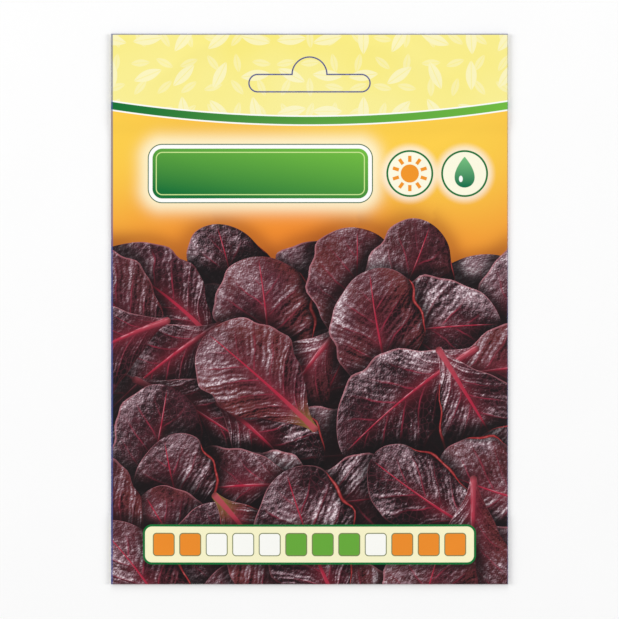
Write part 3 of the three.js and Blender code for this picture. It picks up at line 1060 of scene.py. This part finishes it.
# The back's print: the header's pale ground and leaf pattern run over onto both flaps,
# and the back panel has a blank plate, a year's calendar in three rows with no words,
# and a picture of how deep and how far apart to sow. The box for a date is left blank.
back_print, shader, place = material("back_print", Roughness=0.45, Specular_IOR_Level=0.25)
X, Y, _ = place.parts()
from_top = half_height - Y
on_flaps = from_top.below(top_flap).largest(from_top.above(2 * half_height - bottom_flap))
lemon = place.noise(0.03, 2).mix(ink(250, 238, 134), ink(251, 243, 172))
flap_colour = (header_pattern(place) * 0.5).mix(lemon, ink(254, 251, 222))
box_depth, back_plate_depth, ribbon_rise = 76.3, 36.0, 2.4
ribbon = (from_top - top_flap + ribbon_rise).abs()
box = rounded(X, from_top - box_depth, half_x=47.0, half_y=49.0, radius=3.0)
plate = rounded(X, from_top - back_plate_depth, half_x=42.0, half_y=4.6, radius=2.2)
colour = overprint(
    ink(253, 251, 232),
    (on_flaps, flap_colour),
    (ribbon.within(0.7), leaf_green),
    (box.abs().within(0.16, 0.04), leaf_green),
    (plate.within(0, 0.06), (X / -90 + 0.5).mix(leaf_green, bright_green)),
)

calendar_depth, row_pitch, cell_half = 58.0, 7.2, 2.55
month = (6 - X / month_pitch).floor()
rows_down = (from_top - calendar_depth) / row_pitch + 1.5
row = rows_down.floor()
cell_x, cell_y = repeated(X / month_pitch, month_pitch), repeated(rows_down, row_pitch)
cell = rounded(cell_x, cell_y, cell_half, cell_half, radius=0.7)
in_grid = during(month, 0, 11) * during(row, 0, 2)
crop = during(month, 9, 11).largest(during(month, 0, 1))
cell_colour = overprint(
    ink(250, 249, 240),
    (during(row, 0, 0) * during(month, 5, 7), sowing_green),
    (during(row, 1, 1) * during(month, 7, 8), ink(250, 206, 70)),
    (during(row, 2, 2) * crop, cropping_orange),
)

# The sowing picture: a bed of soil with a row of five young plants, seeds under the
# soil, and a line with ticks that shows their spacing.
bed_depth, plant_pitch, plant_foot, petal_length = 97.0, 16.5, 2.0, 5.2
soil_middle, sown_depth, tick_depth, tick_half = 5.0, 3.6, 15.2, 1.3
bed_y = from_top - bed_depth
bed = rounded(X, bed_y - soil_middle, half_x=42.0, half_y=7.0, radius=2.0)
crumbs = place.cell_edges(0.9).step(0.02, 0.18)
soil = (place.noise(0.8, 3) * 0.6 + crumbs * 0.4).mix(ink(62, 38, 22), ink(132, 92, 56))
plant_x = repeated(X / plant_pitch + 0.5, plant_pitch)
petal_up = -bed_y - plant_foot + 0.6
petal_turn = plant_x.angle(petal_up)
petal = plant_x.length(petal_up) - (petal_turn * 3.5).cos().abs() * petal_length - 0.6
in_row = X.abs().below(plant_pitch * 2.5)
above_soil = (bed_y + 2.1).below(0) * in_row
sown = plant_x.length((bed_y - sown_depth) * 1.7).within(0.95) * in_row
tick_gap = (bed_y - tick_depth).abs()
tick_line = tick_gap.within(0.16, 0.04) * X.abs().below(plant_pitch * 2)
ticks = plant_x.abs().within(0.16, 0.04) * tick_gap.below(tick_half)
ticks = ticks * X.abs().below(plant_pitch * 2.2)
stamp_x, stamp_y = X - 22.0, from_top - (2 * half_height - bottom_flap / 2)
stamp = rounded(stamp_x, stamp_y, half_x=22.0, half_y=4.4, radius=0.8)
colour = overprint(
    colour,
    (cell.within(0.18, 0.04) * in_grid, ink(126, 134, 96)),
    (cell.within(-0.04, 0.04) * in_grid, cell_colour),
    (bed.within(0), soil),
    (petal.within(0, 0.08) * above_soil, ink(104, 30, 44)),
    ((petal + 1.1).within(0, 0.08) * above_soil, ink(150, 48, 66)),
    (sown, ink(226, 196, 150)),
    (tick_line.largest(ticks), leaf_green),
    (stamp.within(0), white),
    (stamp.abs().within(0.135, 0.035), leaf_green),
)
coated_finish(colour, shader, place)

# The inside is plain uncoated paper, a little grey where the print shows through, and
# its cut edges are white fibres.
inside_paper, shader, place = material("inside_paper", Roughness=0.85, Specular_IOR_Level=0.2)
fibres = place.times((1.0, 0.3, 1.0)).noise(4.0, 3)
colour = overprint(
    place.noise(0.12, 3).step(0.3, 0.7).mix(ink(238, 236, 226), ink(249, 247, 240)),
    (fibres.step(0.55, 0.75) * 0.35, ink(214, 208, 192)),
)
connect(shader, Base_Color=colour, Roughness=fibres * 0.2 + 0.72, Normal=bump(fibres, 0.35, 0.03))

cut_edge, shader, place = material("cut_edge", Roughness=0.9, Specular_IOR_Level=0.2)
fibres = place.noise(6.0, 4)
colour = fibres.step(0.3, 0.7).mix(ink(222, 216, 202), ink(252, 250, 244))
connect(shader, Base_Color=colour, Roughness=fibres * 0.15 + 0.8, Normal=bump(fibres, 0.5, 0.03))
for made in (front_print, back_print, inside_paper, cut_edge):
    envelope.data.materials.append(made)

# ---------------- the glue lines
# Three lines of water-based glue, rolled on as a film and pressed flat as the sheet was
# folded: one down the side flap and one under each end flap. They dry a little milky.

glue_film, shader, place = material("glue_film", Roughness=0.4, Specular_IOR_Level=0.5)
rolled = place.times((0.25, 1.0, 1.0)).noise(0.9, 3)
pinholes = place.cells(0.8).step(0.16, 0.05)
colour = overprint(
    rolled.step(0.3, 0.7).mix(ink(232, 224, 196), ink(246, 240, 220)),
    (pinholes * 0.5, ink(206, 192, 156)),
)
gloss = rolled * 0.3 + pinholes * 0.2 + 0.25
connect(shader, Base_Color=colour, Roughness=gloss, Normal=bump(rolled - pinholes * 0.6, 0.6, 0.03))
for name in ("side_seam_glue", "top_flap_glue", "bottom_flap_glue"):
    for slot in bpy.data.objects[name].material_slots:
        slot.material = glue_film

# ---------------- the seeds
# A measure of chicory seed, loose in the packet, that has settled into a flat heap. Each
# is a dry brown achene, four- or five-sided, wider at its top, where a short fringe of
# scales sits, and narrowed to its foot.

seed_count, seed_sides, seed_rings = 2100, 5, 6
seed_length, seed_half, seed_foot = 2.45, 0.64, 0.30
wall_gap, seed_clear = 0.62, 0.03
heap_inset, heap_thickness, nudge = 1.4, 1.25, 0.35
heap_low, heap_high = (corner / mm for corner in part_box("seeds"))
heap_middle = (heap_low + heap_high) / 2
reach_x = (heap_high.x - heap_low.x) / 2 - heap_inset
reach_y = (heap_high.y - heap_low.y) / 2 - heap_inset


def one_seed():
    """A seed along X: rings whose half width is foot + (top - foot) sin of the share
    along it, with a corner at every side, closed by a point at its foot and by a ring
    of scales, drawn in a little, at its top."""
    share = np.linspace(0, 1, seed_rings)
    half = seed_foot + (seed_half - seed_foot) * np.sin(share**0.9 * np.pi * 0.62)
    half[-1] *= 0.72
    along = (share - 0.5) * seed_length
    along[-1] += 0.05
    turn = np.arange(seed_sides) * 2 * np.pi / seed_sides
    half = half[:, None]
    rings = at(along[:, None], half * np.cos(turn), 0.82 * half * np.sin(turn)).reshape(-1, 3)
    ends = np.array([[along[0] - 0.12, 0, 0], [along[-1] - 0.10, 0, 0]])
    this = np.arange(seed_sides)
    after = (this + 1) % seed_sides
    faces = []
    for a in range(0, (seed_rings - 1) * seed_sides, seed_sides):
        b = a + seed_sides
        faces += [at(a + this, a + after, b + after), at(a + this, b + after, b + this)]
    faces += [at(len(rings), after, this), at(len(rings) + 1, b + this, b + after)]
    return np.concatenate([rings, ends]), np.concatenate(faces)


def turns(angle, axis):
    """Matrices that turn by these angles about the X, Y or Z axis, numbered 0 to 2."""
    one, other = (axis + 1) % 3, (axis + 2) % 3
    made = np.zeros((len(angle), 3, 3))
    made[:, axis, axis] = 1
    made[:, one, one] = made[:, other, other] = np.cos(angle)
    made[:, one, other], made[:, other, one] = -np.sin(angle), np.sin(angle)
    return made


def build_seeds(name):
    """Seeds at even steps of a sunflower spiral over the heap, nudged at random, in
    layers between the paper below and the paper above. Each is rolled about its own
    length, tipped a little, then turned on the flat by any angle."""
    draw = np.random.default_rng(7)
    points, faces = one_seed()
    number = np.arange(seed_count)
    away = np.sqrt((number + 0.5) / seed_count)
    turn = number * math.pi * (3 - math.sqrt(5))
    x = heap_middle.x + reach_x * away * np.cos(turn) + draw.normal(0, nudge, seed_count)
    y = heap_middle.y + reach_y * away * np.sin(turn) + draw.normal(0, nudge, seed_count)
    floor = back_height(y) + paper / 2 + wall_gap
    roof = front_height(x, y) - paper / 2 - wall_gap
    depth = draw.permutation(seed_count) / (seed_count - 1)
    fall = np.sqrt(np.clip(1 - (0.92 * away) ** 2, 0, 1))
    middle = (floor + roof) / 2 + (2 * depth - 1) * fall * heap_thickness
    z = np.clip(middle, floor, np.maximum(roof, floor))
    size = draw.uniform(0.86, 1.06, seed_count)
    roll = draw.uniform(0, 2 * np.pi, seed_count)
    tip = draw.normal(0, 0.10, seed_count)
    yaw = draw.uniform(0, 2 * np.pi, seed_count)
    turned = turns(yaw, 2) @ turns(tip, 1) @ turns(roll, 0)
    placed = np.einsum("nij,vj->nvi", turned, points) * size[:, None, None]
    placed += at(x, y, z)[:, None]
    lowest, highest = floor - wall_gap + seed_clear, roof + wall_gap - seed_clear
    placed[..., 2] = np.clip(placed[..., 2], lowest[:, None], highest[:, None])
    all_faces = (faces[None] + (number * len(points))[:, None, None]).reshape(-1, 3)
    mesh = mesh_of(name, placed.reshape(-1, 3), all_faces, sharp=40)
    tone, marked = (draw.uniform(0, 1, seed_count)[:, None] for _ in range(2))
    store(mesh, "seed_place", "POINT", points + number[:, None, None] * 7.3)
    store(mesh, "seed_tone", "POINT", at(tone, marked, points[:, 0] / seed_length + 0.5))
    return linked(name, mesh)


loose_seeds = build_seeds("loose_seeds")
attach(loose_seeds, "root")
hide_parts("seeds")

husk, shader, place = material("seed_husk", Roughness=0.7, Specular_IOR_Level=0.3)
own_mm = place.attribute("seed_place")
tone, marked, up = place.attribute("seed_tone").parts()
grain = own_mm.times((0.5, 4.0, 4.0)).noise(1.6, 3)
blotch = marked.step(0.6, 0.9) * own_mm.noise(1.4, 2).step(0.5, 0.7)
colour = overprint(
    tone.mix(ink(118, 88, 54), ink(176, 142, 98)),
    (grain.step(0.42, 0.68) * 0.6, ink(74, 50, 30)),
    (blotch * 0.6, ink(52, 36, 26)),
    (up.step(0.90, 1.0) * 0.7, ink(214, 190, 146)),
    (up.step(0.10, 0.0) * 0.5, ink(200, 172, 124)),
)
connect(shader, Base_Color=colour, Roughness=grain * 0.25 + 0.55, Normal=bump(grain, 0.6, 0.06))
loose_seeds.data.materials.append(husk)
